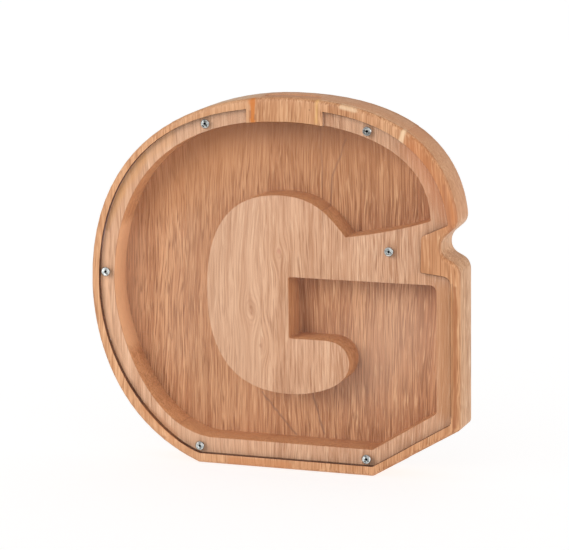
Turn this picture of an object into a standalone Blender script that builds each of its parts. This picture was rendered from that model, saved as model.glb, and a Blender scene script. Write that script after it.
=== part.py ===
"""Letter-shaped wooden money box: five glued staves, a clear front cover and six countersunk screws.

Frame: metres, +Z up, the front faces -Y, the origin is at the middle of the base.
Outlines are drawn in the XZ plane in millimetres and scaled by MM.
"""

import math

import bmesh
import bpy
import numpy as np
from mathutils import Matrix

MM = 0.001

# Overall size
WIDTH = 210.0
HEIGHT = 203.5
DEPTH = 24.0
EDGE_ROUND = 2.2
EDGE_SEGMENTS = 3

# Milled shapes, measured back from the front face
REBATE_DEPTH = 3.0
CAVITY_DEPTH = 20.0
FIT_GAP = 0.3

# Glue lines between the staves, as X positions, and the gap kept between the staves
SEAMS = (-56.0, -7.5, 28.0, 76.0)
SEAM_GAP = 0.3

# Coin slot through the top of the rim
SLOT_LENGTH = 31.0
SLOT_WIDTH = 5.0
SLOT_X = 10.0
SLOT_BACK_FROM_FRONT = 11.5
SLOT_LAND = (-12.8, 29.9)
SLOT_START_Z = 180.0

# Cover and screws
COVER_THICKNESS = 2.6
SCREW_PLACES = ((-36.5, 187.7), (54.5, 187.2), (-96.4, 103.8), (66.1, 123.5), (-43.0, 9.6), (52.8, 9.4))
HEAD_RADIUS = 2.4
HEAD_HEIGHT = 1.5
HEAD_RIM = 0.25
SHANK_RADIUS = 1.15
SCREW_LENGTH = 12.0
TIP_LENGTH = 2.0
PILOT_DEPTH = 13.0
PILOT_TIP = 1.0
RECESS_WIDTH = 0.7
RECESS_SPAN = 2.7
RECESS_DEPTH = 0.9

# Extreme points of the letter
LEFT = -WIDTH / 2
RIGHT = WIDTH / 2
CROWN_X = 9.0
WAIST_Z = 97.0
FRONT_Y = -DEPTH / 2
BACK_Y = DEPTH / 2

CURVE_STEPS = 22
CORNER_STEPS = 6
CORNER_PROBE = 0.5
ROUND_SIDES = 24
CLEAR = 5.0

PARTS = "money_box"
CUTTERS = "money_box_cutters"


# ---------------------------------------------------------------- outlines

def bezier(start, leave, arrive, end, steps=CURVE_STEPS):
    """Points along a cubic curve, without its end point."""
    points = []
    for i in range(steps):
        t = i / steps
        s = 1 - t
        pull = (s ** 3, 3 * s * s * t, 3 * s * t * t, t ** 3)
        point = np.dot(pull, (start, leave, arrive, end))
        points.append(tuple(point))
    return points


def inset(points, distance):
    """A closed outline moved inwards by a distance, with mitred corners."""
    run = np.array(points)
    steps = np.roll(run, -1, axis=0) - run
    steps /= np.linalg.norm(steps, axis=1)[:, None]
    after = np.stack([-steps[:, 1], steps[:, 0]], axis=1)
    before = np.roll(after, 1, axis=0)
    mitre = (before + after) / (1 + np.sum(before * after, axis=1))[:, None]
    return [tuple(point) for point in run + mitre * distance]


def walk(points, index, direction, reach):
    """The point that lies a given reach along a closed outline, and how many corners were passed."""
    here = np.array(points[index])
    passed = 0
    while True:
        ahead = np.array(points[(index + direction * (passed + 1)) % len(points)])
        length = np.linalg.norm(ahead - here)
        if length >= reach:
            return here + (ahead - here) * reach / length, passed
        reach -= length
        here = ahead
        passed += 1


def round_corner(points, corner, radius):
    """A closed outline with one corner replaced by a smooth bend of about the given radius."""
    index = min(range(len(points)), key=lambda i: math.dist(points[i], corner))
    here = np.array(points[index])
    near_in, _ = walk(points, index, -1, CORNER_PROBE)
    near_out, _ = walk(points, index, 1, CORNER_PROBE)
    turn = math.acos(np.clip(np.dot(here - near_in, near_out - here) / CORNER_PROBE ** 2, -1, 1))
    reach = radius * math.tan(turn / 2)
    start, back = walk(points, index, -1, reach)
    end, ahead = walk(points, index, 1, reach)
    pull = 4 / 3 * math.tan(turn / 4) * radius / reach
    leave = start + (here - start) * pull
    arrive = end + (here - end) * pull
    bend = bezier(start, leave, arrive, end, CORNER_STEPS) + [tuple(end)]
    kept = len(points) - 1 - back - ahead
    rest = [points[(index + ahead + 1 + i) % len(points)] for i in range(kept)]
    return rest + bend


def rounded(outline, corners):
    """A closed outline with each listed corner given its radius."""
    for corner, radius in corners:
        outline = round_corner(outline, corner, radius)
    return outline


def outer_outline():
    """Outer face of the letter, from the tip of the upper stroke round to the notch at its aperture."""
    tip = (103.4, 142.5)
    crown = (CROWN_X, HEIGHT)
    waist = (LEFT, WAIST_Z)
    base_left = (-44.0, 0.0)
    base_right = (56.2, 0.0)
    side_foot = (RIGHT, 29.0)
    notch_lip = (RIGHT, 117.5)
    notch_low = (94.4, 122.8)
    notch_high = (94.4, 131.0)
    tip_corner = (104.0, 139.4)
    run = bezier(tip, (100.8, 168.2), (83.8, HEIGHT), crown)
    run += bezier(crown, (-43.6, HEIGHT), (LEFT, 176.4), waist)
    run += bezier(waist, (LEFT, 80.3), (-100.8, 22.7), base_left)
    run += [base_left, base_right, side_foot, notch_lip, notch_low, notch_high, tip_corner]
    return rounded(
        run,
        (
            (base_left, 3.0),
            (base_right, 3.0),
            (side_foot, 3.0),
            (notch_lip, 8.0),
            (notch_low, 6.5),
            (notch_high, 8.0),
            (tip_corner, 7.0),
        ),
    )


def rebate_outline(gap=0.0):
    """Edge of the rebate that takes the cover, and of the cover itself when a gap is given."""
    tip = (98.6, 140.6)
    crown = (CROWN_X, 197.8)
    waist = (-100.4, WAIST_Z)
    base_left = (-43.0, 5.5)
    base_right = (56.3, 5.5)
    side_foot = (100.1, 32.0)
    dent_lip = (100.1, 111.6)
    dent_low = (83.6, 113.4)
    dent_high = (84.2, 132.6)
    tip_corner = (98.7, 139.2)
    run = bezier(tip, (95.5, 165.6), (78.0, 197.8), crown)
    run += bezier(crown, (-79.6, 197.8), (-100.4, 142.1), waist)
    run += bezier(waist, (-100.4, 48.2), (-66.2, 12.5), base_left)
    run += [base_left, base_right, side_foot, dent_lip, dent_low, dent_high, tip_corner]
    run = rounded(
        run,
        (
            (base_left, 2.0),
            (base_right, 2.0),
            (side_foot, 2.5),
            (dent_lip, 4.5),
            (dent_low, 0.8),
            (dent_high, 2.2),
            (tip_corner, 1.0),
        ),
    )
    return inset(run, gap) if gap else run


def cavity_crown():
    """The wall of the cavity from the end of the upper stroke, over the crown, to the left side."""
    crown = (CROWN_X, 190.6)
    run = bezier((88.4, 141.0), (87.4, 188.6), (20.2, 190.6), crown)
    run += bezier(crown, (-80.1, 190.6), (-92.5, 128.1), (-92.5, WAIST_Z))
    return run


def cavity_outline():
    """The coin cavity: the letter's stroke, winding round the counter that is left standing."""
    waist = (-92.5, WAIST_Z)
    sole = (-38.0, 14.1)
    heel = (55.6, 14.1)
    side = (91.5, 36.6)
    bar_end = (91.5, 106.2)
    bar_root = (8.7, 106.2)
    shelf_root = (8.7, 72.5)
    lobe_end = (42.7, 60.2)
    lobe_foot = (8.0, 41.7)
    counter_left = (-38.0, WAIST_Z)
    counter_top = (4.0, 150.3)
    shoulder = (41.2, 129.4)
    stroke_end = (88.2, 140.4)
    run = cavity_crown()
    run += bezier(waist, (-92.5, 70.2), (-74.9, 17.8), sole)
    run += [sole, heel, side, bar_end, bar_root, shelf_root]
    run += bezier((29.0, 72.5), (39.7, 72.5), (42.7, 65.2), lobe_end, 8)
    run += bezier(lobe_end, (42.7, 47.0), (22.0, 41.7), lobe_foot, 10)
    run += bezier(lobe_foot, (-36.0, 41.7), (-38.0, 80.0), counter_left, 16)
    run += bezier(counter_left, (-38.0, 130.2), (-25.0, 150.3), counter_top, 16)
    run += bezier(counter_top, (22.0, 150.3), (30.0, 143.5), shoulder, 10)
    run += bezier(shoulder, (58.0, 132.0), (74.0, 135.5), stroke_end, 8)
    run += [stroke_end]
    return rounded(run, ((heel, 2.0), (side, 3.5), (bar_end, 3.5), (bar_root, 1.2), (shelf_root, 1.2)))


def slot_land_outline(gap=0.0):
    """The stretch of full-height rim around the coin slot, down to the wall of the cavity."""
    left = SLOT_LAND[0] - gap
    right = SLOT_LAND[1] + gap
    wall = sorted(point for point in cavity_crown() if point[1] > 150)
    spots = [left] + [x for x, _ in wall if left < x < right] + [right]
    heights = np.interp(spots, [x for x, _ in wall], [z for _, z in wall])
    lower = [(x, z - gap) for x, z in zip(spots, heights)]
    return lower + [(right, HEIGHT + CLEAR), (left, HEIGHT + CLEAR)]


# ---------------------------------------------------------------- solids

def clear_scene():
    for obj in list(bpy.data.objects):
        bpy.data.objects.remove(obj, do_unlink=True)


def collection(name):
    made = bpy.data.collections.new(name)
    bpy.context.scene.collection.children.link(made)
    return made


def material(name, colour, roughness, metallic=0.0, alpha=1.0, transmission=0.0):
    made = bpy.data.materials.new(name)
    made.use_nodes = True
    shader = made.node_tree.nodes["Principled BSDF"]
    shader.inputs["Base Color"].default_value = (*colour, 1.0)
    shader.inputs["Roughness"].default_value = roughness
    shader.inputs["Metallic"].default_value = metallic
    shader.inputs["Alpha"].default_value = alpha
    shader.inputs["Transmission Weight"].default_value = transmission
    return made


def add_object(name, mesh, where, finish=None):
    obj = bpy.data.objects.new(name, mesh)
    where.objects.link(obj)
    if finish:
        mesh.materials.clear()
        mesh.materials.append(finish)
    if where.name == CUTTERS:
        obj.hide_render = True
        obj.display_type = "WIRE"
    return obj


def plate(name, outline, front, back, where, finish=None):
    """A flat solid with the given outline between two Y positions, made from a filled 2D curve."""
    curve = bpy.data.curves.new(name, "CURVE")
    curve.dimensions = "2D"
    curve.fill_mode = "BOTH"
    curve.extrude = (back - front) / 2 * MM
    spline = curve.splines.new("POLY")
    spline.points.add(len(outline) - 1)
    for point, (x, z) in zip(spline.points, outline):
        point.co = (x * MM, z * MM, 0.0, 1.0)
    spline.use_cyclic_u = True
    drawn = bpy.data.objects.new(name + "_curve", curve)
    where.objects.link(drawn)
    upright = Matrix.Rotation(math.pi / 2, 4, "X")
    drawn.matrix_world = Matrix.Translation((0, (front + back) / 2 * MM, 0)) @ upright
    bpy.context.view_layer.update()
    mesh = bpy.data.meshes.new_from_object(drawn.evaluated_get(bpy.context.evaluated_depsgraph_get()))
    mesh.transform(drawn.matrix_world)
    bpy.data.objects.remove(drawn, do_unlink=True)
    weld(mesh, whole_caps=True)
    return add_object(name, mesh, where, finish)


def weld(mesh, whole_caps=False):
    """Join a mesh's loose caps to its sides, turn its faces outwards, and make each cap one face if asked."""
    shape = bmesh.new()
    shape.from_mesh(mesh)
    bmesh.ops.remove_doubles(shape, verts=shape.verts, dist=1e-6)
    bmesh.ops.recalc_face_normals(shape, faces=shape.faces)
    if whole_caps:
        for side in (-1, 1):
            cap = [face for face in shape.faces if face.normal.y * side > 0.9]
            bmesh.ops.dissolve_faces(shape, faces=cap)
    shape.to_mesh(mesh)
    shape.free()


def block(name, low, high, where):
    """A box between two corners."""
    shape = bmesh.new()
    bmesh.ops.create_cube(shape, size=1.0)
    size = [(b - a) * MM for a, b in zip(low, high)]
    middle = [(a + b) / 2 * MM for a, b in zip(low, high)]
    bmesh.ops.scale(shape, vec=size, verts=shape.verts)
    bmesh.ops.translate(shape, vec=middle, verts=shape.verts)
    mesh = bpy.data.meshes.new(name)
    shape.to_mesh(mesh)
    shape.free()
    return add_object(name, mesh, where)


def turned(name, profile, where):
    """A closed turned mesh about its own Z axis from (radius, height) points, listed from the top down."""
    mesh = bpy.data.meshes.new(name)
    points = [(radius * MM, 0.0, height * MM) for radius, height in profile]
    mesh.from_pydata(points, [(i, i + 1) for i in range(len(points) - 1)], [])
    obj = add_object(name, mesh, where)
    spin = obj.modifiers.new("turn", "SCREW")
    spin.axis = "Z"
    spin.steps = ROUND_SIDES
    spin.render_steps = ROUND_SIDES
    spin.use_merge_vertices = True
    spin.merge_threshold = 0.00001
    return baked(obj)


def baked(obj):
    """The object with its modifiers applied."""
    bpy.context.view_layer.update()
    mesh = bpy.data.meshes.new_from_object(obj.evaluated_get(bpy.context.evaluated_depsgraph_get()))
    obj.modifiers.clear()
    obj.data = mesh
    weld(mesh)
    return obj


def cut(obj, cutter, operation="DIFFERENCE"):
    boolean = obj.modifiers.new(operation.lower() + "_" + cutter.name, "BOOLEAN")
    boolean.operation = operation
    boolean.solver = "EXACT"
    boolean.object = cutter
    return boolean


def round_edges(obj, radius):
    bevel = obj.modifiers.new("round_edges", "BEVEL")
    bevel.width = radius * MM
    bevel.segments = EDGE_SEGMENTS
    bevel.limit_method = "ANGLE"
    bevel.angle_limit = math.radians(60)
    bevel.use_clamp_overlap = False


def face_front(obj, place, depth=0.0):
    """Stand a turned piece on the front face, with its own +Z pointing out towards -Y."""
    x, z = place
    obj.rotation_euler = (math.pi / 2, 0.0, 0.0)
    obj.location = (x * MM, (FRONT_Y + depth) * MM, z * MM)


# ---------------------------------------------------------------- pieces

def make_cutters(where):
    """Everything that is milled out of the glued blank."""
    rebate = plate("rebate_cutter", rebate_outline(), FRONT_Y - CLEAR, FRONT_Y + REBATE_DEPTH, where)
    land = plate("slot_land", slot_land_outline(), FRONT_Y - 2 * CLEAR, FRONT_Y + 2 * CLEAR, where)
    cut(rebate, land)
    cavity = plate("cavity_cutter", cavity_outline(), FRONT_Y - CLEAR, FRONT_Y + CAVITY_DEPTH, where)
    slot_y = FRONT_Y + SLOT_BACK_FROM_FRONT
    slot = block(
        "coin_slot_cutter",
        (SLOT_X - SLOT_LENGTH / 2, slot_y - SLOT_WIDTH / 2, SLOT_START_Z),
        (SLOT_X + SLOT_LENGTH / 2, slot_y + SLOT_WIDTH / 2, HEIGHT + CLEAR),
        where,
    )
    pilots = []
    for number, place in enumerate(SCREW_PLACES, 1):
        radius = SHANK_RADIUS + FIT_GAP
        profile = [(0, CLEAR), (radius, CLEAR), (radius, -PILOT_DEPTH), (0, -PILOT_DEPTH - PILOT_TIP)]
        pilot = turned(f"pilot_{number}", profile, where)
        face_front(pilot, place)
        pilots.append(pilot)
    return [baked(rebate), cavity, slot] + pilots


def make_staves(where, spare, wood):
    """The milled blank, cut at the glue lines into its staves."""
    blank = plate("glued_blank", outer_outline(), FRONT_Y, BACK_Y, spare)
    round_edges(blank, EDGE_ROUND)
    for cutter in make_cutters(spare):
        cut(blank, cutter)
    baked(blank)
    edges = [LEFT - CLEAR, *SEAMS, RIGHT + CLEAR]
    for number, (low, high) in enumerate(zip(edges, edges[1:]), 1):
        slab = block(
            f"slab_{number}",
            (low + SEAM_GAP / 2, FRONT_Y - CLEAR, -CLEAR),
            (high - SEAM_GAP / 2, BACK_Y + CLEAR, HEIGHT + CLEAR),
            spare,
        )
        stave = add_object(f"stave_{number}", blank.data.copy(), where, wood)
        cut(stave, slab, "INTERSECT")


def make_cover(where, spare, acrylic):
    """The clear plate that lies in the rebate, with a countersunk hole for each screw."""
    back = FRONT_Y + REBATE_DEPTH - FIT_GAP
    front = back - COVER_THICKNESS
    cover = plate("clear_cover", rebate_outline(FIT_GAP), front, back, where, acrylic)
    land = plate("cover_land", slot_land_outline(FIT_GAP), FRONT_Y - CLEAR, FRONT_Y + CLEAR, spare)
    cut(cover, land)
    for number, place in enumerate(SCREW_PLACES, 1):
        wide = HEAD_RADIUS + FIT_GAP
        narrow = SHANK_RADIUS + FIT_GAP
        mouth = [(0, CLEAR), (wide, CLEAR), (wide, 0)]
        profile = mouth + [(narrow, -HEAD_HEIGHT), (narrow, -CLEAR), (0, -CLEAR)]
        hole = turned(f"countersink_{number}", profile, spare)
        face_front(hole, place, FIT_GAP / 3)
        cut(cover, hole)
    return cover


def make_screws(where, spare, steel):
    """Six countersunk wood screws, each with its axis on its object's origin."""
    body = [
        (0.0, 0.0),
        (HEAD_RADIUS, 0.0),
        (HEAD_RADIUS, -HEAD_RIM),
        (SHANK_RADIUS, -HEAD_HEIGHT),
        (SHANK_RADIUS, TIP_LENGTH - SCREW_LENGTH),
        (0.0, -SCREW_LENGTH),
    ]
    for number, place in enumerate(SCREW_PLACES, 1):
        screw = turned(f"screw_{number}", body, where)
        screw.data.materials.append(steel)
        face_front(screw, place, FIT_GAP / 3)
        for axis in (0, 1):
            low = [-RECESS_SPAN / 2, -RECESS_SPAN / 2, -RECESS_DEPTH]
            high = [RECESS_SPAN / 2, RECESS_SPAN / 2, CLEAR]
            low[axis] = -RECESS_WIDTH / 2
            high[axis] = RECESS_WIDTH / 2
            slot = block(f"recess_{number}_{axis}", low, high, spare)
            face_front(slot, place, FIT_GAP / 3)
            cut(screw, slot)


def main():
    clear_scene()
    parts = collection(PARTS)
    cutters = collection(CUTTERS)
    wood = material("rubberwood", (0.72, 0.42, 0.23), 0.5)
    acrylic = material("clear_acrylic", (0.95, 0.96, 0.96), 0.05, alpha=0.3, transmission=0.9)
    steel = material("zinc_plated_steel", (0.75, 0.75, 0.74), 0.25, metallic=1.0)
    make_staves(parts, cutters, wood)
    make_cover(parts, cutters, acrylic)
    make_screws(parts, cutters, steel)


main()
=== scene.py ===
"""Looks of a letter-shaped wooden money box: five glued staves, a clear cover and six countersunk screws.

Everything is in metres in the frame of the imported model: +X to the reader's right, the front faces -Y,
+Z up, and the box stands on Z = 0. Each piece keeps its object at the origin and its place in its mesh.
"""

from __future__ import annotations

import logging
import math
from dataclasses import dataclass, field, replace
from enum import Enum

import bmesh
import bpy
from mathutils import Matrix, Vector


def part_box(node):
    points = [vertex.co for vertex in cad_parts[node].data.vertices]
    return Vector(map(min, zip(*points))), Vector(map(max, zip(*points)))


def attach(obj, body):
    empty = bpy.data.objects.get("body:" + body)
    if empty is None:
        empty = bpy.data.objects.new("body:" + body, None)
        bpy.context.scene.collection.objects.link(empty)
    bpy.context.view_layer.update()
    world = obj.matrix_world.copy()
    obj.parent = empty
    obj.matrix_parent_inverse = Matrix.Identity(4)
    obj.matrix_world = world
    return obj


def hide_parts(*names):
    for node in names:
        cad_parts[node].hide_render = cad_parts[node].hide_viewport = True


LOG = logging.getLogger("money_box")
MM = 0.001
TOUCHING = MM / 50
STAVES = 5

Colour = tuple[float, float, float]
Place = tuple[float, float]


# ---------------------------------------------------------------- shader expressions

class Socket:
    """One output of a shader node. Arithmetic on it adds Math nodes to its sheet."""

    def __init__(self, sheet: Sheet, socket: bpy.types.NodeSocket) -> None:
        """Keep the socket and the sheet that it belongs to."""
        self.sheet = sheet
        self.socket = socket

    def maths(self, operation: str, *values: Socket | float, clamp: bool = False) -> Socket:
        """Add one Math node.

        Args:
            operation: the Math node's operation.
            values: what goes into its sockets, in order.
            clamp: whether the result is kept between 0 and 1.

        Returns:
            The node's output.
        """
        settings = {"operation": operation, "use_clamp": clamp}
        return self.sheet.add("ShaderNodeMath", settings, dict(enumerate(values)))

    def __add__(self, other: Socket | float) -> Socket:
        """Sum of two values."""
        return self.maths("ADD", self, other)

    def __radd__(self, other: float) -> Socket:
        """Sum with a number on the left."""
        return self.maths("ADD", other, self)

    def __sub__(self, other: Socket | float) -> Socket:
        """Difference of two values."""
        return self.maths("SUBTRACT", self, other)

    def __rsub__(self, other: float) -> Socket:
        """Difference from a number on the left."""
        return self.maths("SUBTRACT", other, self)

    def __mul__(self, other: Socket | float) -> Socket:
        """Product of two values."""
        return self.maths("MULTIPLY", self, other)

    def __rmul__(self, other: float) -> Socket:
        """Product with a number on the left."""
        return self.maths("MULTIPLY", other, self)

    def __truediv__(self, other: Socket | float) -> Socket:
        """Quotient of two values."""
        return self.maths("DIVIDE", self, other)

    def __pow__(self, other: float) -> Socket:
        """A value to a power."""
        return self.maths("POWER", self, other)

    def size(self) -> Socket:
        """The value without its sign."""
        return self.maths("ABSOLUTE", self)

    def rise(self, low: float, high: float) -> Socket:
        """A smooth step.

        Args:
            low: where the step starts, at 0.
            high: where it ends, at 1. It may be the lower number, and then the step falls.

        Returns:
            The step, between 0 and 1.
        """
        if low <= high:
            return self._ranged(low, high, 0.0, 1.0)
        return self._ranged(high, low, 1.0, 0.0)

    def _ranged(self, low: float, high: float, start: float, end: float) -> Socket:
        """A smooth map from one range to another."""
        settings = {"interpolation_type": "SMOOTHSTEP"}
        values = {"Value": self, "From Min": low, "From Max": high, "To Min": start, "To Max": end}
        return self.sheet.add("ShaderNodeMapRange", settings, values)


class Sheet:
    """A material's node tree, filled in by expressions."""

    def __init__(self, name: str) -> None:
        """Start a material that holds only its output."""
        self.material = bpy.data.materials.new(name)
        self.material.use_nodes = True
        self.tree = self.material.node_tree
        self.tree.nodes.clear()

    def add(
        self,
        kind: str,
        settings: dict[str, object] | None = None,
        values: dict[str | int, object] | None = None,
        output: str | int = 0,
    ) -> Socket:
        """Add any node.

        Args:
            kind: the node's type.
            settings: its properties, and "stops" for a ramp, set before its sockets.
            values: values or links for its sockets, by name or index.
            output: the output that is returned, by name or index.

        Returns:
            That output.
        """
        node = self.tree.nodes.new(kind)
        for key, value in (settings or {}).items():
            if key == "stops":
                self._set_stops(node, value)
            else:
                setattr(node, key, value)
        for key, value in (values or {}).items():
            self.put(node.inputs[key], value)
        return Socket(self, node.outputs[output])

    def put(self, socket: bpy.types.NodeSocket, value: object) -> None:
        """Link or set one input socket."""
        if isinstance(value, Socket):
            self.tree.links.new(value.socket, socket)
        elif isinstance(value, tuple) and len(value) == 3 and socket.type == "RGBA":
            socket.default_value = (*value, 1.0)
        else:
            socket.default_value = value

    @staticmethod
    def _set_stops(node: bpy.types.Node, stops: list[tuple[float, Colour]]) -> None:
        """Set the stops of a ramp."""
        ramp = node.color_ramp
        while len(ramp.elements) < len(stops):
            ramp.elements.new(1.0)
        for element, (position, colour) in zip(ramp.elements, stops):
            element.position = position
            element.color = (*colour, 1.0)

    def mix(self, factor: Socket | float, first: object, second: object, blend: str = "MIX") -> Socket:
        """Mix two colours.

        Args:
            factor: how much of the second colour shows.
            first: the colour below, as a link or three numbers.
            second: the colour above.
            blend: the blend type.

        Returns:
            The mixed colour.
        """
        settings = {"data_type": "RGBA", "blend_type": blend, "clamp_factor": True}
        return self.add("ShaderNodeMix", settings, {0: factor, 6: first, 7: second}, output=2)

    def vector(self, operation: str, *values: object, output: int = 0) -> Socket:
        """Add one Vector Math node and return the output asked for."""
        return self.add("ShaderNodeVectorMath", {"operation": operation}, dict(enumerate(values)), output)

    def noise(self, where: Socket, scale: Colour, detail: float, shift: float = 0.0) -> Socket:
        """Noise that is stretched by its own scale along each axis.

        Args:
            where: the point that is looked up.
            scale: how many features there are in a metre along X, Y and Z.
            detail: the noise's detail.
            shift: moves the pattern, so that no two are the same.

        Returns:
            The noise, around 0.5.
        """
        stretched = self.vector("MULTIPLY_ADD", where, scale, (shift, shift * 1.7, shift * 2.3))
        values = {"Vector": stretched, "Scale": 1.0, "Detail": detail, "Roughness": 0.55}
        return self.add("ShaderNodeTexNoise", {"noise_dimensions": "3D"}, values, output=0)

    def finish(self, shader: Socket) -> bpy.types.Material:
        """Send a shader to the surface and return the material."""
        output = self.tree.nodes.new("ShaderNodeOutputMaterial")
        self.tree.links.new(shader.socket, output.inputs["Surface"])
        return self.material


# ---------------------------------------------------------------- shapes

def welded(node: str) -> bmesh.types.BMesh:
    """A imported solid's shape with its loose triangles joined into whole faces.

    Args:
        node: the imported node's name.

    Returns:
        The shape, to be changed and freed by the caller.
    """
    shape = bmesh.new()
    shape.from_mesh(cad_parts[node].data)
    bmesh.ops.remove_doubles(shape, verts=shape.verts, dist=1e-6)
    bmesh.ops.dissolve_limit(
        shape, angle_limit=math.radians(0.05), verts=shape.verts, edges=shape.edges, delimit=set()
    )
    return shape


def smooth(mesh: bpy.types.Mesh, below: float) -> None:
    """Shade a mesh smooth over every edge that turns by less than an angle."""
    if "custom_normal" in mesh.attributes:
        mesh.attributes.remove(mesh.attributes["custom_normal"])
    mesh.shade_smooth()
    mesh.set_sharp_from_angle(angle=below)


# ---------------------------------------------------------------- wood

# Depths in mm that part one kind of milled surface from the next: the front is at -12 and the back at 12.
RIM_TO = -10.4
ROUNDED_TO = -9.4
LEDGE_TO = -8.5
FLOOR_FROM = 7.5
SIDE_FROM = 9.0
BACK_FROM = 11.5
# The height in mm above which the rim runs full width, in front of the coin slot.
LAND_FOOT = 185.0
# How nearly a face has to look along an axis to count as square on to it.
SQUARE_ON = 0.99


class Zone(Enum):
    """The kinds of surface that the milling leaves: a tint for each, and how strongly its grain shows. The
    rebate walls' dark tint is painted shade, and the sides' tint above 1 is painted light.
    """

    RIM = (0.97, 0.86, 0.73, 1.15)
    LEDGE = (1.0, 0.98, 0.96, 1.0)
    FLOOR = (0.90, 0.76, 0.59, 1.9)
    CAVITY_WALL = (0.97, 0.79, 0.56, 1.0)
    # Painted shade: the rebate walls are tinted dark, standing in for the shadow in the gap round the
    # cover.
    SHADED_REBATE_WALL = (0.22, 0.095, 0.045, 0.6)
    # Painted light: the outer sides are tinted lighter than the wood, as if more brightly lit.
    LIT_SIDE = (1.13, 1.18, 1.17, 1.1)
    BACK = (0.96, 0.92, 0.88, 1.0)
    GLUE_FACE = (0.70, 0.50, 0.36, 0.6)


class Layer(Enum):
    """How deep a mark of the wood shows, as a range of Y."""

    FRONT = (-0.1, -0.0085)
    LEDGE = (-0.0095, -0.0085)
    FLOOR = (0.0070, 0.0090)
    WALL = (-0.0085, 0.0070)
    OUTSIDE = (-0.0085, 0.1)


@dataclass(frozen=True)
class Mark:
    """A knot, fleck, stain or dark line of the wood, or a patch of painted shade or painted light, drawn as
    a soft capsule between two points in mm.
    """

    start: Place
    end: Place
    radius: float
    colour: Colour
    strength: float
    layer: Layer = Layer.FRONT
    soft: float = 0.6

    def spans(self, low: float, high: float) -> bool:
        """Whether any of the mark lies between two X positions in metres."""
        left = min(self.start[0], self.end[0]) - self.radius
        right = max(self.start[0], self.end[0]) + self.radius
        return right * MM > low and left * MM < high

    def mask(self, sheet: Sheet, flat: Socket, depth: Socket) -> Socket:
        """The mark's own mask.

        Args:
            sheet: the material's sheet.
            flat: the surface point with its Y at 0.
            depth: the surface point's Y.

        Returns:
            How strongly the mark shows, between 0 and its strength.
        """
        start = Vector((self.start[0], 0.0, self.start[1])) * MM
        along = Vector((self.end[0], 0.0, self.end[1])) * MM - start
        offset = sheet.vector("SUBTRACT", flat, tuple(start))
        if along.length > MM / 10:
            share = sheet.vector("DOT_PRODUCT", offset, tuple(along / along.length_squared), output=1)
            share = share.maths("ADD", share, 0.0, clamp=True)
            reached = sheet.vector("SCALE", tuple(along))
            sheet.put(reached.socket.node.inputs["Scale"], share)
            offset = sheet.vector("SUBTRACT", offset, reached)
        away = sheet.vector("LENGTH", offset, output=1)
        edge = self.radius * MM
        shown = away.rise(edge, edge * (1 - self.soft)) * self.strength
        low, high = self.layer.value
        return shown * depth.maths("GREATER_THAN", depth, low) * depth.maths("LESS_THAN", depth, high)


@dataclass(frozen=True)
class Whorl:
    """An eye in the grain, where the fibres part and close again round a point in mm."""

    middle: Place
    reach: float
    parting: float
    ring_gap: float = 1.7

    def mask(self, sheet: Sheet, point: Socket) -> Socket:
        """How strongly the fibres are parted, between 0 and 1."""
        middle = (self.middle[0] * MM, 0.0, self.middle[1] * MM)
        offset = sheet.vector("SUBTRACT", point, middle)
        away = sheet.vector("LENGTH", sheet.vector("MULTIPLY", offset, (1.0, 0.0, 0.55)), output=1)
        return away.rise(self.reach * MM, 0.0) * self.parting

    def rings(self, sheet: Sheet, point: Socket) -> Socket:
        """Thin dark lines that close round the eye, between 0 and 1."""
        middle = (self.middle[0] * MM, 0.0, self.middle[1] * MM)
        wander = sheet.noise(point, (260.0, 200.0, 130.0), 2.0, self.middle[0]) * (2.2 * MM)
        offset = sheet.vector("MULTIPLY", sheet.vector("SUBTRACT", point, middle), (1.0, 0.0, 0.5))
        away = sheet.vector("LENGTH", offset, output=1) + wander
        turns = away * (math.tau / (self.ring_gap * MM))
        ring = turns.maths("SINE", turns)
        return ring.rise(0.35, 1.0) * away.rise(self.reach * 0.75 * MM, self.reach * 0.25 * MM) * 0.30


@dataclass(frozen=True)
class Grain:
    """One noise of the wood."""

    scale: Colour
    detail: float
    offset: float

    def on(self, sheet: Sheet, where: Socket, shift: float) -> Socket:
        """The noise, around 0.5, moved by the board's own shift."""
        return sheet.noise(where, self.scale, self.detail, shift + self.offset)


SWAY = Grain((10.0, 6.0, 5.5), 1.0, 0.0)
RIPPLE = Grain((48.0, 40.0, 26.0), 1.0, 3.0)
BANDS = Grain((95.0, 120.0, 2.2), 2.0, 11.0)
STREAKS = Grain((360.0, 300.0, 9.0), 3.0, 19.0)
FIBRES = Grain((1150.0, 900.0, 34.0), 2.0, 29.0)
CLOUD = Grain((16.0, 12.0, 9.0), 2.0, 41.0)
DASHES = Grain((1500.0, 1200.0, 80.0), 1.0, 53.0)
HAIRS = Grain((1900.0, 1500.0, 56.0), 0.0, 57.0)
FLECKS = Grain((800.0, 700.0, 75.0), 2.0, 61.0)
PATCHES = Grain((34.0, 30.0, 11.0), 1.0, 71.0)
RAGGED = Grain((420.0, 300.0, 90.0), 2.0, 83.0)
FELT = Grain((1300.0, 1000.0, 60.0), 2.0, 97.0)
HANDLED = Grain((40.0, 40.0, 25.0), 3.0, 101.0)


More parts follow.
